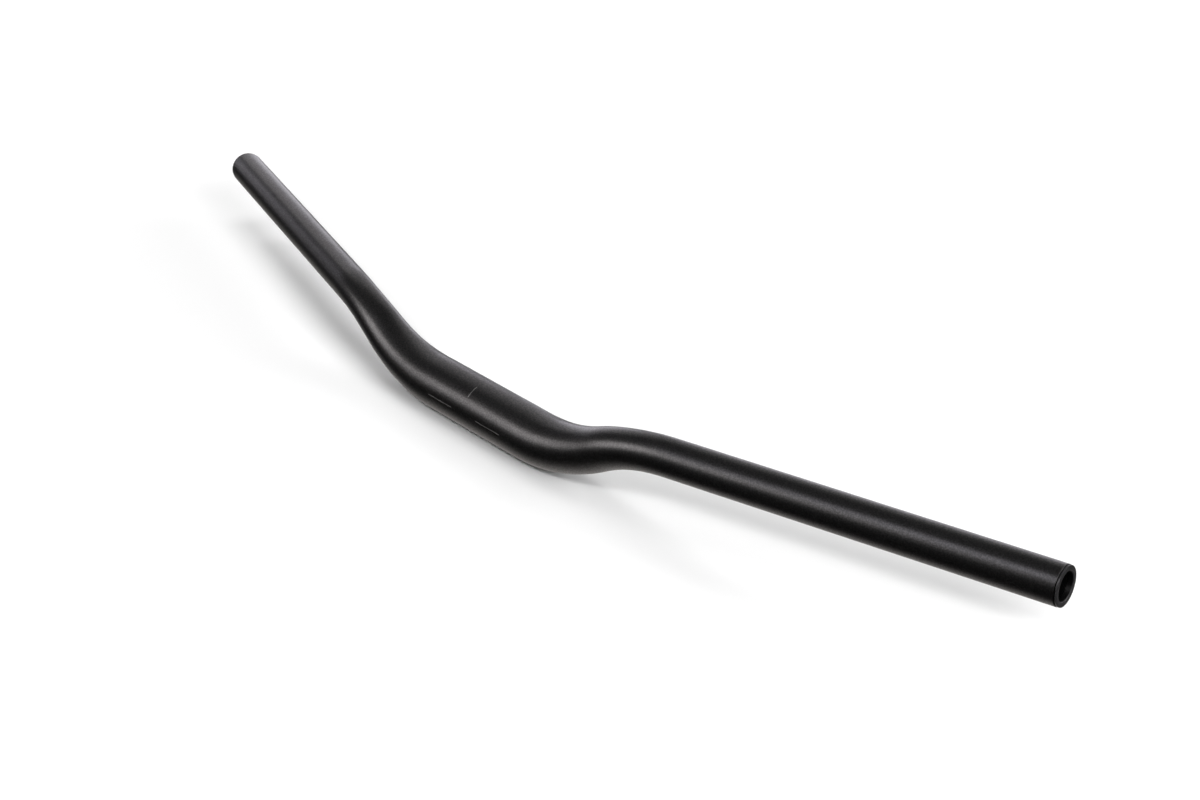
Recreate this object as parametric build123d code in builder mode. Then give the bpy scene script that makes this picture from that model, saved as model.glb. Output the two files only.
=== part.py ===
"""Riser handlebar: a tapered, butted and twice bent tube with an insert ring in each end.

The origin is the centre of the stem clamp. X runs across the bicycle, Z is up and the grips sweep back along +Y.
Lengths are in millimetres and angles in degrees.
"""
from build123d import *
import os
from math import cos, radians, sin, tan

os.makedirs("parts", exist_ok=True)

# Line of the tube's axis
half_width = 380.0           # clamp centre to the outer face of an end ring, measured along X
rise = 25.0                  # clamp axis up to the grip axis, where the grip starts
backsweep = 15.0             # turn of the grips towards the rider, seen from above
upsweep = 0.0                # turn of the grips upwards, seen from the front
clamp_straight = 45.0        # clamp centre to the start of the first bend
climb_bend_radius = 140.0    # first bend, from the clamp into the climb
climb_straight = 2.9         # between the two bends
climb_lean = 8.5             # how far the climb leans back from the vertical
grip_bend_radius = 108.0     # second bend, from the climb into the grip

# Tube
clamp_diameter = 31.8
grip_diameter = 22.2
clamp_wall = 2.3
grip_wall = 1.95
taper_start = 40.0           # along the axis, from the clamp centre
taper_end = 148.0
taper_rounding = 0.25        # share of the taper's length that eases in, and again out
taper_sections = 9
tube_end_chamfer = 0.3

# End rings
ring_flange_step = 0.2       # from the tube's surface in to the rim of the flange
ring_flange_thickness = 1.1
ring_flange_chamfer = 0.3
ring_parting_gap = 0.4       # between the tube's end and the back of the flange
ring_bond_clearance = 0.05   # glue line round the spigot
ring_spigot_wall = 1.2
ring_spigot_length = 12.0
ring_spigot_chamfer = 0.5
ring_mouth_chamfer = 0.45
ring_groove_depth = 0.35
ring_groove_width = 0.6
ring_groove_inset = 3.2      # outer face to the near side of the groove in the bore


def climb_direction(steepness):
    """Direction of the climb between the two bends."""
    return Vector(
        cos(radians(steepness)),
        sin(radians(steepness)) * sin(radians(climb_lean)),
        sin(radians(steepness)) * cos(radians(climb_lean)),
    )


def climb_length(steepness):
    """Length of the climb from corner to corner, which both bends round off."""
    first_setback = climb_bend_radius * tan(radians(steepness / 2))
    second_turn = climb_direction(steepness).get_angle(grip_direction)
    second_setback = grip_bend_radius * tan(radians(second_turn / 2))
    return first_setback + climb_straight + second_setback


def climb_steepness():
    """Steepness at which the climb gains the rise, found by halving the range that holds it."""
    low, high = 1.0, 80.0
    for _ in range(50):
        middle = (low + high) / 2
        if climb_length(middle) * climb_direction(middle).Z < rise:
            low = middle
        else:
            high = middle
    return low


# The axis as straight stretches, given by the corners where they would meet
grip_direction = Vector(1, tan(radians(backsweep)), tan(radians(upsweep))).normalized()
steepness = climb_steepness()
inner_corner = Vector(clamp_straight + climb_bend_radius * tan(radians(steepness / 2)), 0, 0)
outer_corner = inner_corner + climb_direction(steepness) * climb_length(steepness)
ring_face = outer_corner + grip_direction * ((half_width - outer_corner.X) / grip_direction.X)
tube_end = ring_face - grip_direction * (ring_flange_thickness + ring_parting_gap)

with BuildLine() as half_axis:
    FilletPolyline(
        (0, 0, 0),
        inner_corner,
        outer_corner,
        tube_end,
        radius=[climb_bend_radius, grip_bend_radius],
    )
axis_wire = half_axis.wire()


def taper_share(distance):
    """How far the tube has tapered at a distance along its axis, from 0 at the clamp to 1 at the grip."""
    along = min(max((distance - taper_start) / (taper_end - taper_start), 0), 1)
    full_slope = 1 / (1 - taper_rounding)
    if along < taper_rounding:
        return full_slope * along**2 / (2 * taper_rounding)
    if along > 1 - taper_rounding:
        return 1 - full_slope * (1 - along) ** 2 / (2 * taper_rounding)
    return full_slope * (along - taper_rounding / 2)


def outer_radius(distance):
    """Outside radius of the tube at a distance along its axis."""
    return (clamp_diameter + (grip_diameter - clamp_diameter) * taper_share(distance)) / 2


def bore_radius(distance):
    """Inside radius of the tube, whose wall is butted from thick at the clamp to thin at the grip."""
    return outer_radius(distance) - clamp_wall - (grip_wall - clamp_wall) * taper_share(distance)


def stretch(start, end):
    """The part of the axis between two distances from the clamp centre."""
    return axis_wire.trim(start / axis_wire.length, end / axis_wire.length)


def section(distance, radius):
    """Round section square to the axis, turned the same way at every distance."""
    origin = axis_wire.position_at(distance / axis_wire.length)
    tangent = axis_wire.tangent_at(distance / axis_wire.length)
    level = Vector(0, 1, 0) - tangent * tangent.Y
    with BuildSketch(Plane(origin=origin, x_dir=level, z_dir=tangent)) as disc:
        Circle(radius)
    return disc.sketch


def half_tube(radius_at, mode):
    """Half the tube's outside or bore: plain at the clamp, tapered through the bends, plain at the grip."""
    sweep(section(0, radius_at(0)), path=stretch(0, taper_start), mode=mode)

    step = (taper_end - taper_start) / (taper_sections - 1)
    distances = [taper_start + step * i for i in range(taper_sections)]
    sections = [section(distance, radius_at(distance)) for distance in distances]
    sweep(sections, path=stretch(taper_start, taper_end), multisection=True, mode=mode)

    plain_grip = stretch(taper_end, axis_wire.length)
    sweep(section(taper_end, radius_at(taper_end)), path=plain_grip, mode=mode)


def end_edges(tube, radius):
    """The round edges of one radius that lie furthest out, one at each end of the tube."""
    round_edges = tube.edges().filter_by(GeomType.CIRCLE)
    matching = round_edges.filter_by(lambda edge: abs(edge.radius - radius) < 0.01)
    across = matching.sort_by(Axis.X)
    return [across[0], across[-1]]


with BuildPart() as bar:
    half_tube(outer_radius, Mode.ADD)
    half_tube(bore_radius, Mode.SUBTRACT)
    mirror(about=Plane.YZ)
    chamfer(end_edges(bar, grip_diameter / 2), tube_end_chamfer)
    chamfer(end_edges(bar, grip_diameter / 2 - grip_wall), tube_end_chamfer)
bar.part.label = "bar"
export_step(bar.part, "parts/bar.step")


def ring_profile(plane):
    """Half section of an end ring: local X is the radius and local Y points out along the grip."""
    flange = grip_diameter / 2 - ring_flange_step
    spigot = grip_diameter / 2 - grip_wall - ring_bond_clearance
    bore = spigot - ring_spigot_wall
    inner_end = -(ring_flange_thickness + ring_parting_gap + ring_spigot_length)
    with BuildSketch(plane) as profile:
        with BuildLine():
            Polyline(
                (bore + ring_mouth_chamfer, 0),
                (flange, 0),
                (flange, -ring_flange_thickness),
                (spigot, -ring_flange_thickness),
                (spigot, inner_end + ring_spigot_chamfer),
                (spigot - ring_spigot_chamfer, inner_end),
                (bore, inner_end),
                (bore, -ring_mouth_chamfer),
                close=True,
            )
        make_face()
        chamfer(profile.vertices().group_by(Axis.X)[-1], ring_flange_chamfer)
        with Locations((bore, -ring_groove_inset - ring_groove_width / 2)):
            Rectangle(2 * ring_groove_depth, ring_groove_width, mode=Mode.SUBTRACT)
    return profile.sketch


for side, name in ((1, "end_ring_left"), (-1, "end_ring_right")):
    face_centre = Vector(side * ring_face.X, ring_face.Y, ring_face.Z)
    outward = Vector(side * grip_direction.X, grip_direction.Y, grip_direction.Z)
    radial = outward.cross(Vector(0, 0, 1)).normalized()
    with BuildPart() as end_ring:
        profile_plane = Plane(origin=face_centre, x_dir=radial, z_dir=radial.cross(outward))
        revolve(ring_profile(profile_plane), axis=Axis(face_centre, outward))
    end_ring.part.label = name
    export_step(end_ring.part, f"parts/{name}.step")
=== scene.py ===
"""Riser handlebar: the finish of its tube and end rings, and a plain studio round them.

Lengths are in metres, in the part's own frame: the origin is the centre of the stem clamp, X runs across the
bicycle, Z is up and the grips sweep back along +Y. Angles round the tube are measured from the front of the
bar (-Y at the clamp) up over its top.
"""
import logging
from dataclasses import dataclass
from enum import Enum
from math import cos, pi, radians, sin, tan
from typing import Any, Sequence, Union

import bpy
from mathutils import Matrix, Quaternion, Vector


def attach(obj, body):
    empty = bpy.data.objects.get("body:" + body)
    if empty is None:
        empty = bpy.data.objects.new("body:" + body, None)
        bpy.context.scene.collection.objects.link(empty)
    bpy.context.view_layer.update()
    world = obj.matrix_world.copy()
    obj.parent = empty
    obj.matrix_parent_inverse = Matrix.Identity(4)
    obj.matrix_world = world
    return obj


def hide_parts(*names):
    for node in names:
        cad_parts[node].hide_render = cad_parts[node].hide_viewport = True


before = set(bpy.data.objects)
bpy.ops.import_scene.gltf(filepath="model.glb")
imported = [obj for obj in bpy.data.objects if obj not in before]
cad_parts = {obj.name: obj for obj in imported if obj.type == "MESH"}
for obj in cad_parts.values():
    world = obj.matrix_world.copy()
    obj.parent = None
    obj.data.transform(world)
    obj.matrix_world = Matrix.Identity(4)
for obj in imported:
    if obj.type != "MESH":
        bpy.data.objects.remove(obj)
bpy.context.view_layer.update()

BODY = "root"
MM = 0.001

log = logging.getLogger("handlebar")

Colour = tuple[float, float, float]
Operand = Union["Value", float]


class Side(Enum):
    """The two ends of the bar, by the side of the bicycle that they are on. The value is the sign of X."""

    LEFT = 1
    RIGHT = -1


class Reach(Enum):
    """What a studio lamp does: it lights surfaces, or it is mirrored by them."""

    LIGHT = "light"
    MIRRORED = "mirrored"


class Value:
    """One output of a node, which takes part in Python expressions."""

    def __init__(self, graph: "Graph", socket: bpy.types.NodeSocket) -> None:
        """Wraps a socket.

        Args:
            graph: the node graph that the socket belongs to.
            socket: an output socket.
        """
        self.graph = graph
        self.socket = socket

    def other(self, name: str) -> "Value":
        """Another output of the same node."""
        return Value(self.graph, self.socket.node.outputs[name])

    def __add__(self, right: Operand) -> "Value":
        """self + right."""
        return self.graph.maths("ADD", self, right)

    def __radd__(self, left: Operand) -> "Value":
        """left + self."""
        return self.graph.maths("ADD", left, self)

    def __sub__(self, right: Operand) -> "Value":
        """self - right."""
        return self.graph.maths("SUBTRACT", self, right)

    def __rsub__(self, left: Operand) -> "Value":
        """left - self."""
        return self.graph.maths("SUBTRACT", left, self)

    def __mul__(self, right: Operand) -> "Value":
        """self * right."""
        return self.graph.maths("MULTIPLY", self, right)

    def __rmul__(self, left: Operand) -> "Value":
        """left * self."""
        return self.graph.maths("MULTIPLY", left, self)

    def __truediv__(self, right: Operand) -> "Value":
        """self / right."""
        return self.graph.maths("DIVIDE", self, right)

    def __rtruediv__(self, left: Operand) -> "Value":
        """left / self."""
        return self.graph.maths("DIVIDE", left, self)

    def __gt__(self, right: Operand) -> "Value":
        """1 where self is above right, else 0."""
        return self.graph.maths("GREATER_THAN", self, right)

    def __lt__(self, right: Operand) -> "Value":
        """1 where self is below right, else 0."""
        return self.graph.maths("LESS_THAN", self, right)


class Graph:
    """Builds the nodes of one material, world or Geometry Nodes tree."""

    def __init__(self, tree: bpy.types.NodeTree) -> None:
        """Starts on an emptied tree.

        Args:
            tree: the node tree to build in.
        """
        self.tree = tree
        tree.nodes.clear()

    def node(self, kind: str, settings: dict[str, Any] | None = None,
             sockets: dict[str | int, Any] | None = None) -> Value | None:
        """Adds a node of any kind.

        Args:
            kind: the node's type name.
            settings: the node's own settings, which are made before its sockets are filled.
            sockets: what goes into its inputs, by name or number: a Value is linked, anything else is set.

        Returns:
            The node's first output in use, or None for an end node, which has none.
        """
        node = self.tree.nodes.new(kind)
        for name, setting in (settings or {}).items():
            setattr(node, name, setting)
        for name, content in (sockets or {}).items():
            socket = self._input(node, name)
            for part in content if isinstance(content, list) else [content]:
                if isinstance(part, Value):
                    self.tree.links.new(part.socket, socket)
                else:
                    socket.default_value = part
        outputs = [socket for socket in node.outputs if socket.enabled]
        return Value(self, outputs[0]) if outputs else None

    @staticmethod
    def _input(node: bpy.types.Node, name: str | int) -> bpy.types.NodeSocket:
        """Finds an input of a node.

        Args:
            node: the node.
            name: the name of an input in use, or the number of any input.

        Returns:
            The input.
        """
        if isinstance(name, int):
            return node.inputs[name]
        return next(socket for socket in node.inputs if socket.name == name and socket.enabled)

    def maths(self, operation: str, *operands: Operand) -> Value:
        """One step of arithmetic on numbers."""
        return self.node("ShaderNodeMath", {"operation": operation}, dict(enumerate(operands)))

    def vector(self, operation: str, *operands: Any) -> Value:
        """One step of arithmetic on vectors."""
        return self.node("ShaderNodeVectorMath", {"operation": operation}, dict(enumerate(operands)))

    def scaled(self, direction: Any, length: Operand) -> Value:
        """A vector times a number."""
        return self.node("ShaderNodeVectorMath", {"operation": "SCALE"}, {"Vector": direction, "Scale": length})

    def mixed(self, factor: Operand, first: Any, second: Any) -> Value:
        """A colour between two others."""
        sockets = {"Factor": factor, "A": first, "B": second}
        return self.node("ShaderNodeMix", {"data_type": "RGBA"}, sockets)

    def spread(self, value: Value, low: float, high: float) -> Value:
        """A value of about 0 to 1 moved to the range from low to high."""
        return value * (high - low) + low

    def shared(self, share: float, first: Value, second: Value) -> Value:
        """A sum in which the first value has the given share and the second has the rest of 1."""
        return first * share + second * (1 - share)


def rgba(colour: Colour) -> tuple[float, float, float, float]:
    """A colour with full opacity."""
    return (*colour, 1.0)


def new_material(name: str) -> tuple[bpy.types.Material, Graph]:
    """Makes an empty material.

    Args:
        name: the material's name.

    Returns:
        The material and the graph of its nodes.
    """
    material = bpy.data.materials.new(name)
    material.use_nodes = True
    return material, Graph(material.node_tree)


def add_piece(mesh: bpy.types.Mesh, name: str) -> bpy.types.Object:
    """Puts a mesh in the scene as an object at the origin.

    Args:
        mesh: the finished mesh, in the part's frame.
        name: the object's name.

    Returns:
        The new object.
    """
    piece = bpy.data.objects.new(name, mesh)
    bpy.context.scene.collection.objects.link(piece)
    return piece


@dataclass(frozen=True)
class Etching:
    """One straight laser mark on the tube, as a patch of its surface."""

    along: tuple[float, float]      # distance along the axis from the clamp centre
    around: tuple[float, float]     # angle round the tube, in radians

    def mask(self, graph: Graph, along: Value, around: Value) -> Value:
        """Where the mark is.

        Args:
            graph: the material's graph; not used.
            along: distance along the axis.
            around: angle round the tube.

        Returns:
            1 inside the mark and 0 outside.
        """
        across = (along > self.along[0]) * (along < self.along[1])
        return across * (around > self.around[0]) * (around < self.around[1])


@dataclass(frozen=True)
class CentreMarks:
    """The marks by which a fitter centres the bar in a stem: one tick over the top and two dashes in front."""

    line_width: float = 0.42 * MM
    tick_angles: tuple[float, float] = (41.0, 70.0)
    dash_angle: float = 2.3         # above the front of the bar
    dash_start: float = 12.1 * MM
    dash_end: float = 34.9 * MM
    radius: float = 15.9 * MM       # of the tube where the marks are

    def etchings(self) -> list[Etching]:
        """The marks as patches of the tube's surface.

        Returns:
            The tick, the dash at +X and the dash at -X.
        """
        half = self.line_width / 2
        half_angle = half / self.radius
        level = radians(self.dash_angle)
        dash_band = (level - half_angle, level + half_angle)
        tick_band = (radians(self.tick_angles[0]), radians(self.tick_angles[1]))
        return [
            Etching((-half, half), tick_band),
            Etching((self.dash_start, self.dash_end), dash_band),
            Etching((-self.dash_end, -self.dash_start), dash_band),
        ]


@dataclass(frozen=True)
class Speckle:
    """Noise of one feature size, which varies a finish."""

    size: float
    detail: float = 2.0

    def over(self, graph: Graph, place: Value) -> Value:
        """The noise at each place, of about 0 to 1."""
        return graph.node("ShaderNodeTexNoise", None, {
            "Vector": place, "Scale": 1 / self.size, "Detail": self.detail,
        })


@dataclass(frozen=True)
class BlastedAnodise:
    """Black anodised aluminium that was blasted with fine bead, with laser marks through the dye."""

    wrap_map: str
    marks: CentreMarks = CentreMarks()
    dye: Colour = (0.0019, 0.0018, 0.0018)
    dye_pale: Colour = (0.0030, 0.0028, 0.0028)
    mark: Colour = (0.28, 0.274, 0.27)
    mark_metal: float = 0.65        # share of bare aluminium in the marks
    roughness: tuple[float, float] = (0.30, 0.38)
    mark_roughness: float = 0.4
    index: float = 1.5              # of refraction, of the seal over the dye
    grain: Speckle = Speckle(0.85 * MM)
    pits: Speckle = Speckle(0.25 * MM, 1.0)
    cloud: Speckle = Speckle(9 * MM, 3.0)
    grain_height: float = 0.02 * MM
    height_share: float = 0.65      # of the grain in the height, where the pits have the rest
    dye_share: float = 0.6          # of the cloud in the dye, where the pits have the rest
    satin_share: float = 0.35       # of the cloud in the roughness, where the grain has the rest
    tip_gloss: float = 0.75         # coat on the tips of the grain
    tip_levels: tuple[float, float] = (0.42, 0.64)  # heights at which a tip starts and is whole

    def material(self, name: str) -> bpy.types.Material:
        """The finish as a material.

        Args:
            name: the material's name.

        Returns:
            The new material.
        """
        material, graph = new_material(name)
        place = graph.node("ShaderNodeTexCoord").other("Object")
        grain = self.grain.over(graph, place)
        pits = self.pits.over(graph, place)
        cloud = self.cloud.over(graph, place)
        blast = graph.shared(self.height_share, grain, pits)
        mark = self._mark_mask(graph)
        dye = graph.mixed(graph.shared(self.dye_share, cloud, pits), rgba(self.dye), rgba(self.dye_pale))
        satin = graph.spread(graph.shared(self.satin_share, cloud, grain), *self.roughness)
        mean_roughness = sum(self.roughness) / 2
        low, high = self.tip_levels
        tips = graph.node("ShaderNodeMapRange", None, {
            "Value": blast, "From Min": low, "From Max": high, "To Max": self.tip_gloss,
        })
        bump = graph.node("ShaderNodeBump", None, {
            "Strength": 1.0, "Distance": self.grain_height, "Height": blast,
        })
        surface = graph.node("ShaderNodeBsdfPrincipled", None, {
            "Base Color": graph.mixed(mark, dye, rgba(self.mark)),
            "Roughness": satin + mark * (self.mark_roughness - mean_roughness),
            "Metallic": mark * self.mark_metal,
            "IOR": self.index,
            "Coat Weight": tips * (1 - mark),
            "Coat Roughness": mean_roughness,
            "Normal": bump,
        })
        graph.node("ShaderNodeOutputMaterial", None, {"Surface": surface})
        return material

    def _mark_mask(self, graph: Graph) -> Value:
        """Where the laser marks are.

        Args:
            graph: the material's graph.

        Returns:
            1 on the marks and 0 beside them.
        """
        wrap = graph.node("ShaderNodeUVMap", {"uv_map": self.wrap_map})
        along = graph.node("ShaderNodeSeparateXYZ", None, {"Vector": wrap})
        masks = [etching.mask(graph, along, along.other("Y")) for etching in self.marks.etchings()]
        return sum(masks[1:], start=masks[0])


@dataclass(frozen=True)
class TurnedAnodise:
    """Black anodised aluminium as it comes off the lathe, with fine tool lines round it, and painted shade in its
    bore.
    """

    wrap_map: str
    bore_band: tuple[float, float]      # where the map's X, the way round the section, is in the bore, which gets painted shade
    # painted shade: the bore is coloured near black, darker than the face, for the shade deep inside it
    bore_painted_shade: Colour = (0.0012, 0.0012, 0.0013)
    dye: Colour = (0.0100, 0.0098, 0.0102)
    dye_pale: Colour = (0.0160, 0.0155, 0.0160)
    roughness: tuple[float, float] = (0.28, 0.38)
    index: float = 1.5                  # of refraction, of the seal over the dye
    line_pitch: float = 0.12 * MM
    line_height: float = 0.003 * MM
    line_detail: float = 2.0
    line_share: float = 0.5             # of the lines in the roughness, where the blur has the rest
    blur: Speckle = Speckle(0.8 * MM)

    def material(self, name: str) -> bpy.types.Material:
        """The finish as a material.

        Args:
            name: the material's name.

        Returns:
            The new material.
        """
        material, graph = new_material(name)
        wrap = graph.node("ShaderNodeUVMap", {"uv_map": self.wrap_map})
        across = graph.node("ShaderNodeSeparateXYZ", None, {"Vector": wrap})
        lines = graph.node("ShaderNodeTexNoise", {"noise_dimensions": "1D"}, {
            "W": across / self.line_pitch, "Scale": 1.0, "Detail": self.line_detail,
        })
        blur = self.blur.over(graph, graph.node("ShaderNodeTexCoord").other("Object"))
        bump = graph.node("ShaderNodeBump", None, {
            "Strength": 1.0, "Distance": self.line_height, "Height": lines,
        })
        face_dye = graph.mixed(blur, rgba(self.dye), rgba(self.dye_pale))
        # painted shade: inside the bore the near-black colour replaces the face's dye
        bore = (across > self.bore_band[0]) * (across < self.bore_band[1])
        surface = graph.node("ShaderNodeBsdfPrincipled", None, {
            "Base Color": graph.mixed(bore, face_dye, rgba(self.bore_painted_shade)),
            "Roughness": graph.spread(graph.shared(self.line_share, lines, blur), *self.roughness),
            "IOR": self.index,
            "Normal": bump,
        })
        graph.node("ShaderNodeOutputMaterial", None, {"Surface": surface})
        return material


@dataclass
class BarAxis:
    """The line of the bar's axis: the clamp, the climb and the grips, with the bends that join them."""

    half_width: float = 380 * MM          # clamp centre to the face of an end ring, along X
    rise: float = 25 * MM
    backsweep: float = 15.0
    clamp_straight: float = 45 * MM
    climb_bend_radius: float = 140 * MM
    climb_straight: float = 2.9 * MM
    climb_lean: float = 8.5
    grip_bend_radius: float = 108 * MM
    steepness_range: tuple[float, float] = (1.0, 80.0)    # degrees between which any climb lies
    halvings: int = 50                    # how often that range is halved to find the climb's

    def grip_direction(self) -> Vector:
        """Outward direction of the grip at the bicycle's left."""
        return Vector((1.0, tan(radians(self.backsweep)), 0.0)).normalized()

    def climb_direction(self, steepness: float) -> Vector:
        """Direction of the climb between the bends, at a steepness in degrees."""
        rise, lean = radians(steepness), radians(self.climb_lean)
        return Vector((cos(rise), sin(rise) * sin(lean), sin(rise) * cos(lean)))

    def climb_length(self, steepness: float) -> float:
        """Length of the climb from corner to corner, which both bends round off.

        Args:
            steepness: the climb's steepness in degrees.

        Returns:
            The length.
        """
        second_turn = self.climb_direction(steepness).angle(self.grip_direction())
        first_setback = self.climb_bend_radius * tan(radians(steepness) / 2)
        return first_setback + self.climb_straight + self.grip_bend_radius * tan(second_turn / 2)

    def climb_steepness(self) -> float:
        """Steepness at which the climb gains the rise, found by halving the range that holds it.

        Returns:
            The steepness in degrees.
        """
        low, high = self.steepness_range
        for _ in range(self.halvings):
            middle = (low + high) / 2
            if self.climb_length(middle) * self.climb_direction(middle).z < self.rise:
                low = middle
            else:
                high = middle
        return low

    def corners(self) -> tuple[Vector, Vector, Vector]:
        """The axis as it would be without bends.

        Returns:
            The inner corner, the outer corner and the centre of the ring's face, at the bicycle's left.
        """
        steepness = self.climb_steepness()
        setback = self.climb_bend_radius * tan(radians(steepness) / 2)
        inner = Vector((self.clamp_straight + setback, 0.0, 0.0))
        outer = inner + self.climb_direction(steepness) * self.climb_length(steepness)
        grip = self.grip_direction()
        face = outer + grip * ((self.half_width - outer.x) / grip.x)
        return inner, outer, face


@dataclass
class HandlebarTube:
    """The bent and butted tube, as a Geometry Nodes sweep along its axis."""

    axis: BarAxis
    end_inset: float                      # ring face back to the tube's end
    clamp_diameter: float = 31.8 * MM
    grip_diameter: float = 22.2 * MM
    clamp_wall: float = 2.3 * MM
    grip_wall: float = 1.95 * MM
    taper_start: float = 40 * MM
    taper_end: float = 148 * MM
    taper_rounding: float = 0.25          # share of the taper that eases in, and again out
    end_chamfer: float = 0.3 * MM
    arc_points: int = 40
    outer_rows: int = 420
    bore_rows: int = 180
    rim_rows: int = 4                     # the corners of the two chamfers, at which the flat ring starts and ends
    sides: int = 112
    sharp_angle: float = 30.0
    weld: float = 0.002 * MM
    name: str = "handlebar_tube"
    wrap_map: str = "wrap"
    bend_attribute: str = "bend_radius"

    def build(self) -> bpy.types.Object:
        """Makes the tube's mesh from its axis and the node tree.

        Returns:
            The finished piece, with a plain mesh.
        """
        draft = add_piece(self._corner_line(), self.name + "_draft")
        modifier = draft.modifiers.new("sweep", "NODES")
        modifier.node_group = self._tree()
        self._fill_inputs(modifier)
        depsgraph = bpy.context.evaluated_depsgraph_get()
        mesh = bpy.data.meshes.new_from_object(draft.evaluated_get(depsgraph))
        mesh.name = self.name
        bpy.data.objects.remove(draft)
        return add_piece(mesh, self.name)

    def dress(self, graph: Graph, bare: Value) -> Value:
        """Gives the swept tube its blasted and anodised finish, as the last step of its tree."""
        finish = BlastedAnodise(self.wrap_map).material("black_blasted_anodise")
        return graph.node("GeometryNodeSetMaterial", None, {"Geometry": bare, "Material": finish})

    def _corner_line(self) -> bpy.types.Mesh:
        """The axis as straight edges between its corners.

        Returns:
            A mesh of edges, with the bend radius kept at each corner.
        """
        inner, outer, face = self.axis.corners()
        end = face - self.axis.grip_direction() * self.end_inset
        half = [(inner, self.axis.climb_bend_radius), (outer, self.axis.grip_bend_radius), (end, 0.0)]
        mirror = Matrix.Diagonal((-1, 1, 1))
        line = [(mirror @ corner, radius) for corner, radius in reversed(half)] + half
        mesh = bpy.data.meshes.new(self.name + "_axis")
        mesh.from_pydata([corner for corner, _ in line], [(i, i + 1) for i in range(len(line) - 1)], [])
        bend = mesh.attributes.new(self.bend_attribute, "FLOAT", "POINT")
        bend.data.foreach_set("value", [radius for _, radius in line])
        return mesh

    def _sizes(self) -> dict[str, float]:
        """The sizes that the node tree takes, by the names of its inputs."""
        return {
            "Clamp Diameter": self.clamp_diameter,
            "Grip Diameter": self.grip_diameter,
            "Clamp Wall": self.clamp_wall,
            "Grip Wall": self.grip_wall,
            "Taper Start": self.taper_start,
            "Taper End": self.taper_end,
            "Taper Rounding": self.taper_rounding,
            "End Chamfer": self.end_chamfer,
        }

    def _fill_inputs(self, modifier: bpy.types.Modifier) -> None:
        """Sets the modifier's inputs, each by its socket's identifier.

        Args:
            modifier: the modifier that holds the tree.
        """
        sizes = self._sizes()
        for item in modifier.node_group.interface.items_tree:
            if item.name in sizes:
                modifier[item.identifier] = sizes[item.name]

    def _tree(self) -> bpy.types.NodeTree:
        """The node tree that sweeps the wall round the axis.

        Returns:
            The new tree, whose inputs are the corner line and the tube's sizes.
        """
        tree = bpy.data.node_groups.new("tube_sweep", "GeometryNodeTree")
        tree.interface.new_socket("Geometry", in_out="INPUT", socket_type="NodeSocketGeometry")
        for name in self._sizes():
            tree.interface.new_socket(name, in_out="INPUT", socket_type="NodeSocketFloat")
        tree.interface.new_socket("Geometry", in_out="OUTPUT", socket_type="NodeSocketGeometry")
        graph = Graph(tree)
        inputs = graph.node("NodeGroupInput")
        curve = self._axis_curve(graph, inputs)
        half_length = graph.node("GeometryNodeCurveLength", None, {"Curve": curve}) / 2
        reach = half_length - inputs.other("End Chamfer")
        sheets = [
            self._wall(graph, inputs, curve, half_length, reach, outside=True),
            self._rim(graph, inputs, curve, half_length, end=1),
            self._wall(graph, inputs, curve, half_length, reach, outside=False),
            self._rim(graph, inputs, curve, half_length, end=-1),
        ]
        joined = graph.node("GeometryNodeJoinGeometry", None, {"Geometry": sheets})
        welded = graph.node("GeometryNodeMergeByDistance", None, {"Geometry": joined, "Distance": self.weld})
        shaded = self._smooth(graph, welded)
        realized = graph.node("GeometryNodeRealizeInstances", None, {"Geometry": shaded})
        graph.node("NodeGroupOutput", None, {"Geometry": self.dress(graph, realized)})
        return tree

    def _axis_curve(self, graph: Graph, inputs: Value) -> Value:
        """The corner line as a curve, with its corners bent to their radii.

        Args:
            graph: the tree's graph.
            inputs: the tree's inputs.

        Returns:
            The curve.
        """
        line = graph.node("GeometryNodeMeshToCurve", None, {"Mesh": inputs})
        bend = graph.node("GeometryNodeInputNamedAttribute", {"data_type": "FLOAT"}, {
            "Name": self.bend_attribute,
        })
        return graph.node("GeometryNodeFilletCurve", {"mode": "POLY"}, {
            "Curve": line, "Count": self.arc_points, "Radius": bend, "Limit Radius": False,
        })

    def _share(self, graph: Graph, inputs: Value, distance: Value) -> Value:
        """How far the tube has tapered.

        Args:
            graph: the tree's graph.
            inputs: the tree's inputs.
            distance: the distance along the axis from its centre, to either side.

        Returns:
            The share, from 0 at the clamp to 1 at the grip.
        """
        start, end = inputs.other("Taper Start"), inputs.other("Taper End")
        rounding = inputs.other("Taper Rounding")
        length = graph.maths("ABSOLUTE", distance)
        along = (length - start) / (end - start)
        lead_in = graph.maths("MINIMUM", graph.maths("MAXIMUM", along, 0.0), rounding)
        level = graph.maths("MINIMUM", graph.maths("MAXIMUM", along - rounding, 0.0), 1 - 2 * rounding)
        lead_out = graph.maths("MINIMUM", graph.maths("MAXIMUM", along - 1 + rounding, 0.0), rounding)
        eased = (lead_in * lead_in - lead_out * lead_out) / (2 * rounding)
        return (eased + level + lead_out) / (1 - rounding)

    def _radii(self, graph: Graph, inputs: Value, distance: Value) -> tuple[Value, Value]:
        """The radii of the tube.

        Args:
            graph: the tree's graph.
            inputs: the tree's inputs.
            distance: the distance along the axis from its centre, to either side.

        Returns:
            The outside and the inside radius.
        """
        share = self._share(graph, inputs, distance)
        clamp, grip = inputs.other("Clamp Diameter"), inputs.other("Grip Diameter")
        outside = (clamp + (grip - clamp) * share) / 2
        clamp_wall, grip_wall = inputs.other("Clamp Wall"), inputs.other("Grip Wall")
        return outside, outside - clamp_wall - (grip_wall - clamp_wall) * share

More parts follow.
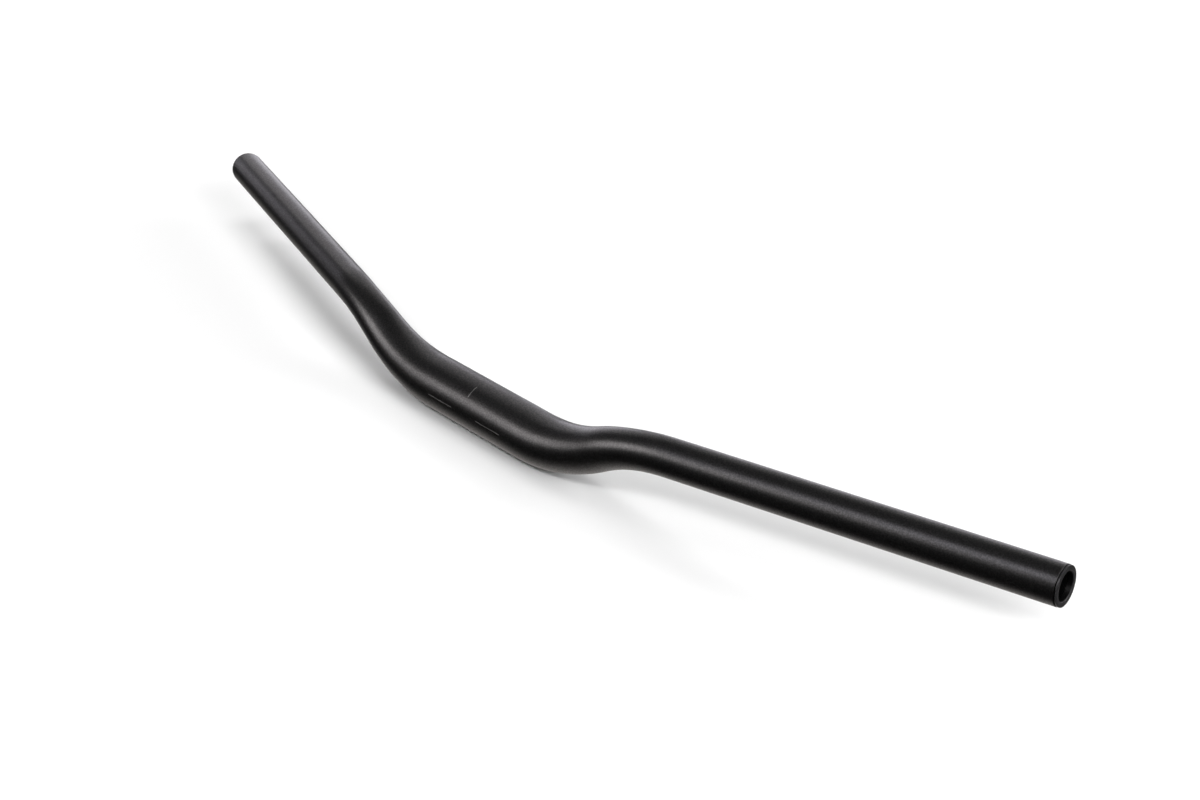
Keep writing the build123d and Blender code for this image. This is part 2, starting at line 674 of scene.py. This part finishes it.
    def _wall(self, graph: Graph, inputs: Value, curve: Value, half_length: Value, reach: Value,
              outside: bool) -> Value:
        """The outside of the tube, or its bore, from one end's chamfer to the other.

        Args:
            graph: the tree's graph.
            inputs: the tree's inputs.
            curve: the bent axis.
            half_length: the axis from its centre to its end.
            reach: the axis from its centre to the chamfer.
            outside: the outside of the tube if true, else the bore.

        Returns:
            The sheet, with its faces turned out of the metal.
        """
        rows = self.outer_rows if outside else self.bore_rows
        grid = self._grid(graph, rows)
        where = graph.node("ShaderNodeSeparateXYZ", None, {"Vector": graph.node("GeometryNodeInputPosition")})
        sense = 1.0 if outside else -1.0
        distance = where * 2.0 * reach * sense
        radii = self._radii(graph, inputs, distance)
        return self._wrap(graph, grid, curve, half_length, where, distance, radii[0 if outside else 1])

    def _rim(self, graph: Graph, inputs: Value, curve: Value, half_length: Value, end: int) -> Value:
        """The chamfers and the flat ring between them at one end of the tube.

        Args:
            graph: the tree's graph.
            inputs: the tree's inputs.
            curve: the bent axis.
            half_length: the axis from its centre to its end.
            end: 1 for the end at +X, where the rows run inwards, or -1 for the other, where they run out.

        Returns:
            The sheet, with its faces turned out of the metal.
        """
        grid = self._grid(graph, self.rim_rows)
        where = graph.node("ShaderNodeSeparateXYZ", None, {"Vector": graph.node("GeometryNodeInputPosition")})
        inward = where * float(end)
        chamfer = inputs.other("End Chamfer")
        flat = graph.maths("ABSOLUTE", inward) < 1 / (self.rim_rows - 1)
        bore_half = inward > 0.0
        distance = (half_length - chamfer * (1 - flat)) * float(end)
        outside, inside = self._radii(graph, inputs, distance)
        corner = outside + (inside - outside) * bore_half
        radius = corner + chamfer * flat * (2 * bore_half - 1)
        return self._wrap(graph, grid, curve, half_length, where, distance, radius)

    def _grid(self, graph: Graph, rows: int) -> Value:
        """A unit square about 0, with rows along X that become stations on the axis and columns that go round."""
        return graph.node("GeometryNodeMeshGrid", None, {
            "Size X": 1.0, "Size Y": 1.0, "Vertices X": rows, "Vertices Y": self.sides + 1,
        })

    def _wrap(self, graph: Graph, grid: Value, curve: Value, half_length: Value, where: Value,
              distance: Value, radius: Value) -> Value:
        """Wraps a flat grid round the axis.

        Args:
            graph: the tree's graph.
            grid: the flat grid.
            curve: the bent axis.
            half_length: the axis from its centre to its end.
            where: the grid's own position, whose Y goes once round.
            distance: where each row goes along the axis, from its centre.
            radius: the distance of each row from the axis.

        Returns:
            The wrapped sheet, with the distance and the angle kept in its map.
        """
        angle = where.other("Y") * (2 * pi)
        spot = graph.node("GeometryNodeSampleCurve", {"mode": "LENGTH", "use_all_curves": True}, {
            "Curves": curve, "Length": distance + half_length,
        })
        tangent = graph.vector("NORMALIZE", spot.other("Tangent"))
        along_y = graph.node("ShaderNodeSeparateXYZ", None, {"Vector": tangent}).other("Y")
        sideways = graph.vector("SUBTRACT", (0.0, 1.0, 0.0), graph.scaled(tangent, along_y))
        level = graph.vector("NORMALIZE", sideways)
        upward = graph.vector("CROSS_PRODUCT", tangent, level)
        forward_part = graph.scaled(level, radius * graph.maths("COSINE", angle) * -1)
        upward_part = graph.scaled(upward, radius * graph.maths("SINE", angle))
        place = graph.vector("ADD", spot.other("Position"), graph.vector("ADD", forward_part, upward_part))
        map_point = graph.node("ShaderNodeCombineXYZ", None, {"X": distance, "Y": angle})
        mapped = graph.node("GeometryNodeStoreNamedAttribute", {"data_type": "FLOAT2", "domain": "CORNER"}, {
            "Geometry": grid, "Name": self.wrap_map, "Value": map_point,
        })
        return graph.node("GeometryNodeSetPosition", None, {"Geometry": mapped, "Position": place})

    def _smooth(self, graph: Graph, geometry: Value) -> Value:
        """Shades faces smooth and keeps the chamfers' edges sharp.

        Args:
            graph: the tree's graph.
            geometry: the welded tube.

        Returns:
            The shaded tube.
        """
        faces = graph.node("GeometryNodeSetShadeSmooth", {"domain": "FACE"}, {"Geometry": geometry})
        turn = graph.node("GeometryNodeInputMeshEdgeAngle")
        return graph.node("GeometryNodeSetShadeSmooth", {"domain": "EDGE"}, {
            "Geometry": faces, "Selection": turn > radians(self.sharp_angle), "Shade Smooth": False,
        })


@dataclass
class EndRing:
    """The turned ring in one end of the tube: a flange, a spigot and a bore with a groove and fine furrows."""

    side: Side
    axis: BarAxis
    grip_radius: float = 11.1 * MM
    grip_wall: float = 1.95 * MM
    flange_step: float = 0.2 * MM
    flange_thickness: float = 1.1 * MM
    flange_edge_radius: float = 0.35 * MM
    parting_gap: float = 0.4 * MM
    bond_clearance: float = 0.05 * MM
    spigot_wall: float = 1.2 * MM
    spigot_length: float = 12 * MM
    spigot_chamfer: float = 0.5 * MM
    mouth_chamfer: float = 0.45 * MM
    groove_depth: float = 0.35 * MM
    groove_width: float = 0.6 * MM
    groove_inset: float = 3.2 * MM
    furrow_pitch: float = 0.5 * MM
    furrow_depth: float = 0.09 * MM
    furrow_count: int = 5
    furrow_start: float = 0.1             # from the groove to the first furrow's foot, as a share of the pitch
    furrow_shape: tuple[tuple[float, float], ...] = (     # its corners, as shares of the pitch and the depth
        (0.2, 0.0), (0.5, 1.0), (0.8, 0.0),
    )
    edge_steps: int = 6
    sides: int = 128
    sharp_angle: float = 32.0
    wrap_map: str = "wrap"
    material_name: str = "black_turned_anodise"

    def face(self) -> tuple[Vector, Vector]:
        """Where the ring's outer face is.

        Returns:
            Its centre and the direction that it looks in.
        """
        _, _, centre = self.axis.corners()
        outward = self.axis.grip_direction()
        mirror = Matrix.Diagonal((self.side.value, 1, 1))
        return mirror @ centre, mirror @ outward

    def build(self) -> bpy.types.Object:
        """Turns the ring's section round the grip's axis.

        Returns:
            The finished piece.
        """
        section = self._section()
        centre, outward = self.face()
        across = outward.cross(Vector((0, 0, 1))).normalized()
        upward = across.cross(outward)
        places, faces = [], []
        for turn in range(self.sides):
            angle = 2 * pi * turn / self.sides
            spoke = across * cos(angle) + upward * sin(angle)
            places += [centre + spoke * radius + outward * depth for radius, depth in section]
        count = len(section)
        for turn in range(self.sides):
            here, following = turn * count, (turn + 1) % self.sides * count
            for i in range(count):
                j = (i + 1) % count
                faces.append((here + i, following + i, following + j, here + j))
        name = f"end_ring_{self.side.name.lower()}_turned"
        mesh = bpy.data.meshes.new(name)
        mesh.from_pydata(places, [], faces)
        self._store_map(mesh, section)
        mesh.shade_smooth()
        mesh.set_sharp_from_angle(angle=radians(self.sharp_angle))
        return add_piece(mesh, name)

    def dress(self, piece: bpy.types.Object) -> None:
        """Gives the ring its turned and anodised finish, which both rings share, with painted shade in its bore.

        Args:
            piece: the ring's object.
        """
        section = self._section()
        travelled = self._travelled(section)
        bore = min(radius for radius, _ in section)
        first = next(i for i, (radius, _) in enumerate(section) if radius == bore)
        last = len(section) - 2
        # the bore's band, from its first corner to the mouth chamfer, is where the painted shade goes
        finish = TurnedAnodise(self.wrap_map, (travelled[first], travelled[last]))
        found = bpy.data.materials.get(self.material_name)
        piece.data.materials.append(found or finish.material(self.material_name))

    def _section(self) -> list[tuple[float, float]]:
        """The ring's half section as radius and depth along the axis, once round it.

        Returns:
            The corners, in the order in which the metal lies on the right of the path.
        """
        flange = self.grip_radius - self.flange_step
        spigot = self.grip_radius - self.grip_wall - self.bond_clearance
        bore = spigot - self.spigot_wall
        back = -self.flange_thickness
        end = back - self.parting_gap - self.spigot_length
        round_off = self.flange_edge_radius
        front_edge = self._arc(flange - round_off, -round_off, 90, 0)
        back_edge = self._arc(flange - round_off, back + round_off, 0, -90)
        outside = [(spigot, back), (spigot, end + self.spigot_chamfer), (spigot - self.spigot_chamfer, end)]
        inside = [(bore, end), *self._bore(bore), (bore + self.mouth_chamfer, 0.0)]
        return front_edge + back_edge + outside + inside

    def _arc(self, radius: float, depth: float, start: float, end: float) -> list[tuple[float, float]]:
        """One rounded edge of the flange.

        Args:
            radius: the radius at which the arc has its centre.
            depth: the depth at which the arc has its centre.
            start: the angle at which it starts, in degrees.
            end: the angle at which it ends.

        Returns:
            Points on the arc, as radius and depth.
        """
        angles = [radians(start + (end - start) * i / self.edge_steps) for i in range(self.edge_steps + 1)]
        reach = self.flange_edge_radius
        return [(radius + reach * cos(angle), depth + reach * sin(angle)) for angle in angles]

    def _bore(self, bore: float) -> list[tuple[float, float]]:
        """The bore from the groove out to the mouth, with the furrows between them.

        Args:
            bore: the bore's radius.

        Returns:
            The corners, as radius and depth.
        """
        near, far = -self.groove_inset, -self.groove_inset - self.groove_width
        groove = [(bore, far), (bore + self.groove_depth, far), (bore + self.groove_depth, near), (bore, near)]
        furrows = []
        for i in range(self.furrow_count):
            foot = near + (i + self.furrow_start) * self.furrow_pitch
            for along, deep in self.furrow_shape:
                furrows.append((bore + deep * self.furrow_depth, foot + along * self.furrow_pitch))
        return groove + furrows + [(bore, -self.mouth_chamfer)]

    def _travelled(self, section: Sequence[tuple[float, float]]) -> list[float]:
        """How far round the section each of its corners is.

        Args:
            section: the corners, as radius and depth.

        Returns:
            The distance to each corner from the first, and then the whole way round.
        """
        travelled = [0.0]
        for (r0, d0), (r1, d1) in zip(section, [*section[1:], section[0]]):
            travelled.append(travelled[-1] + Vector((r1 - r0, d1 - d0)).length)
        return travelled

    def _store_map(self, mesh: bpy.types.Mesh, section: Sequence[tuple[float, float]]) -> None:
        """Keeps each corner's distance round the section and angle round the axis in the mesh's map.

        Args:
            mesh: the turned mesh.
            section: the corners, as radius and depth.
        """
        travelled = self._travelled(section)
        layer = mesh.uv_layers.new(name=self.wrap_map)
        count = len(section)
        for face in mesh.polygons:
            turn, i = divmod(face.index, count)
            along = (travelled[i], travelled[i], travelled[i + 1], travelled[i + 1])
            turns = (turn, turn + 1, turn + 1, turn)
            for loop, distance, step in zip(face.loop_indices, along, turns):
                layer.data[loop].uv = (distance, 2 * pi * step / self.sides)


@dataclass(frozen=True)
class Softbox:
    """One rectangular studio lamp that faces the bar, placed by the part of the sky that it covers."""

    name: str
    azimuth: float                  # direction from the bar to the lamp: 0 is -Y, 90 is +X
    elevation: float
    spread: float                   # angle that it covers across
    height: float                   # angle that it covers upwards
    radiance: float                 # brightness of the lamp's face
    colour: Colour = (1.0, 1.0, 1.0)
    reach: Reach = Reach.MIRRORED
    roll: float = 0.0               # turn about its own line to the bar
    distance: float = 2.0
    aim: tuple[float, float, float] = (0.0, 0.03, 0.0)

    def place(self) -> None:
        """Puts the lamp in the scene, turned to face its aim."""
        turn, climb = radians(self.azimuth), radians(self.elevation)
        lamp = bpy.data.lights.new(self.name, "AREA")
        lamp.shape = "RECTANGLE"
        lamp.size = 2 * self.distance * tan(radians(self.spread) / 2)
        lamp.size_y = 2 * self.distance * tan(radians(self.height) / 2)
        lamp.color = self.colour
        lamp.energy = self.radiance * lamp.size * lamp.size_y * pi
        towards = Vector((sin(turn) * cos(climb), -cos(turn) * cos(climb), sin(climb)))
        item = bpy.data.objects.new(self.name, lamp)
        item.location = Vector(self.aim) + towards * self.distance
        facing = towards.to_track_quat("Z", "Y") @ Quaternion((0.0, 0.0, 1.0), radians(self.roll))
        item.rotation_euler = facing.to_euler()
        item.visible_glossy = self.reach is Reach.MIRRORED
        item.visible_diffuse = self.reach is Reach.LIGHT
        bpy.context.scene.collection.objects.link(item)


@dataclass
class Studio:
    """A white floor in a dark room, and the softboxes."""

    floor_height: float
    floor_reach: float = 4.0
    floor_albedo: float = 0.8
    floor_lift: float = 0.045               # added where the camera sees the floor
    floor_fade: tuple[float, float] = (0.45, 1.2)   # distances at which it starts to turn, and is, plain white
    paper: Colour = (0.60, 0.57, 0.55)      # the floor where the bar mirrors it
    paper_side: tuple[float, float, float] = (-0.5, 0.35, -0.79)    # where it is brightest, below and behind
    paper_fade: tuple[float, float] = (0.61, 1.0)   # cosines of the angles from there: it starts, it is whole
    room: float = 0.1                       # the dim room that the bar mirrors above it
    room_fade: tuple[float, float] = (0.3, 0.7)     # sines of the slopes up: it starts, it is whole

    def softboxes(self) -> list[Softbox]:
        """The lamps: six that light the floor, windows on the bar's front and strips that rim its back.

        Returns:
            The lamps, each with its azimuth, elevation, spread, height and radiance.
        """
        warm, cool, pale = (1.0, 0.95, 0.955), (0.95, 0.92, 1.0), (1.0, 0.96, 0.975)
        return [
            Softbox("key", 76.5, 29.2, 24.0, 24.0, 14.6, reach=Reach.LIGHT),
            Softbox("front", 24.0, 44.0, 10.0, 10.0, 36.0, reach=Reach.LIGHT),
            Softbox("side_low", -101.5, 13.5, 10.0, 10.0, 55.0, reach=Reach.LIGHT),
            Softbox("side_high", -99.5, 29.2, 10.0, 10.0, 24.0, reach=Reach.LIGHT),
            Softbox("rear", 140.0, 28.0, 32.0, 32.0, 4.3, reach=Reach.LIGHT),
            Softbox("overhead", -115.0, 85.0, 30.0, 30.0, 3.1, reach=Reach.LIGHT),
            Softbox("horizon_left", -109.5, 4.0, 41.0, 16.0, 2.1, cool),
            Softbox("horizon_back", -160.0, 4.0, 52.0, 16.0, 2.0, cool),
            Softbox("window", -33.8, 20.6, 37.5, 21.3, 5.2, warm, roll=28.6, distance=4.0),
            Softbox("window_top", 5.5, 45.5, 34.0, 23.9, 2.7, cool),
            Softbox("back_soft", -136.0, 28.3, 68.0, 34.0, 0.60, pale),
            Softbox("far_left", -79.0, 8.0, 24.0, 22.0, 0.15, cool),
            Softbox("near_side", 78.0, 27.0, 40.0, 26.0, 2.4, pale),
            Softbox("far_side", 135.0, 22.0, 37.0, 26.0, 1.5, pale),
            Softbox("floor_glow", 171.6, -28.6, 40.0, 30.0, 0.07, pale),
        ]

    def build(self) -> None:
        """Makes the floor, the surround and the lamps."""
        self._floor()
        self._surround()
        for lamp in self.softboxes():
            lamp.place()

    def _floor(self) -> None:
        """A flat sheet that the clamp rests on, which is white where nothing shades it."""
        mesh = bpy.data.meshes.new("floor")
        square = ((-1, -1), (1, -1), (1, 1), (-1, 1))
        corners = [(self.floor_reach * x, self.floor_reach * y, self.floor_height) for x, y in square]
        mesh.from_pydata(corners, [], [(0, 1, 2, 3)])
        material, graph = new_material("white_paper")
        paper = graph.node("ShaderNodeBsdfDiffuse", None, {"Color": rgba((self.floor_albedo,) * 3)})
        distance = graph.vector("LENGTH", graph.node("ShaderNodeTexCoord").other("Object"))
        white = graph.spread(self._faded(graph, distance, self.floor_fade), self.floor_lift, 1.0)
        lift = graph.node("ShaderNodeEmission", None, {"Strength": graph.node("ShaderNodeLightPath") * white})
        both = graph.node("ShaderNodeAddShader", None, {0: paper, 1: lift})
        graph.node("ShaderNodeOutputMaterial", None, {"Surface": both})
        mesh.materials.append(material)
        floor = add_piece(mesh, "floor")
        floor.visible_glossy = False

    def _surround(self) -> None:
        """A world that the camera sees as white, and in which the bar mirrors paper below and a dim room above."""
        world = bpy.data.worlds.new("surround")
        world.use_nodes = True
        bpy.context.scene.world = world
        graph = Graph(world.node_tree)
        path = graph.node("ShaderNodeLightPath")
        mirrored = graph.maths("MAXIMUM", path.other("Is Glossy Ray"), path.other("Is Transmission Ray"))
        direction = graph.node("ShaderNodeTexCoord")
        nearness = graph.vector("DOT_PRODUCT", direction, self.paper_side)
        upward = graph.vector("DOT_PRODUCT", direction, (0.0, 0.0, 1.0))
        paper = graph.scaled(self.paper, self._faded(graph, nearness, self.paper_fade))
        room = graph.scaled((self.room,) * 3, self._faded(graph, upward, self.room_fade))
        dim = graph.node("ShaderNodeBackground", None, {
            "Color": graph.vector("ADD", paper, room), "Strength": mirrored,
        })
        white = graph.node("ShaderNodeBackground", None, {"Color": rgba((1.0, 1.0, 1.0))})
        seen = graph.node("ShaderNodeMixShader", None, {0: path, 1: dim, 2: white})
        graph.node("ShaderNodeOutputWorld", None, {"Surface": seen})

    def _faded(self, graph: Graph, value: Value, ends: tuple[float, float]) -> Value:
        """A share that grows smoothly from 0 to 1 as the value goes from one end to the other."""
        return graph.node("ShaderNodeMapRange", {"interpolation_type": "SMOOTHSTEP"}, {
            "Value": value, "From Min": ends[0], "From Max": ends[1],
        })


@dataclass(frozen=True)
class PhotographCamera:
    """The camera of the photograph, found from the bar's outline in it."""

    location: tuple[float, float, float] = (1.02632, -0.73607, 0.60415)
    azimuth: float = 51.31          # turn of the view from +Y towards -X
    elevation: float = 25.41        # how far the view looks down
    focal_pixels: float = 2397.0
    image_width: float = 1200.0
    sensor: float = 36.0
    nearest: float = 0.05           # where the camera starts to see

    def place(self) -> None:
        """Makes the scene's camera."""
        camera = bpy.data.cameras.new("photograph")
        camera.sensor_width = self.sensor
        camera.lens = self.focal_pixels / self.image_width * self.sensor
        camera.clip_start = self.nearest
        item = bpy.data.objects.new("photograph", camera)
        item.location = self.location
        item.rotation_euler = (radians(90 - self.elevation), 0.0, radians(self.azimuth))
        bpy.context.scene.collection.objects.link(item)
        bpy.context.scene.camera = item


def stand_for(piece: bpy.types.Object, node: str) -> None:
    """Lets a finished piece stand for a node of the frame.

    Args:
        piece: the finished piece.
        node: the name of the node that it replaces.
    """
    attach(piece, BODY)
    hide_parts(node)
    log.info("%s stands for %s: %d faces", piece.name, node, len(piece.data.polygons))


def main() -> None:
    """Builds the handlebar's pieces and the studio."""
    logging.basicConfig(level=logging.INFO, format="%(name)s: %(message)s")
    axis = BarAxis()
    rings = [EndRing(side, axis) for side in Side]
    tube = HandlebarTube(axis, end_inset=rings[0].flange_thickness + rings[0].parting_gap)
    stand_for(tube.build(), "bar")
    for ring in rings:
        piece = ring.build()
        ring.dress(piece)
        stand_for(piece, f"end_ring_{ring.side.name.lower()}")
    Studio(floor_height=-tube.clamp_diameter / 2).build()
    PhotographCamera().place()
    bpy.context.scene.view_settings.view_transform = "Standard"


if __name__ == "__main__":
    main()
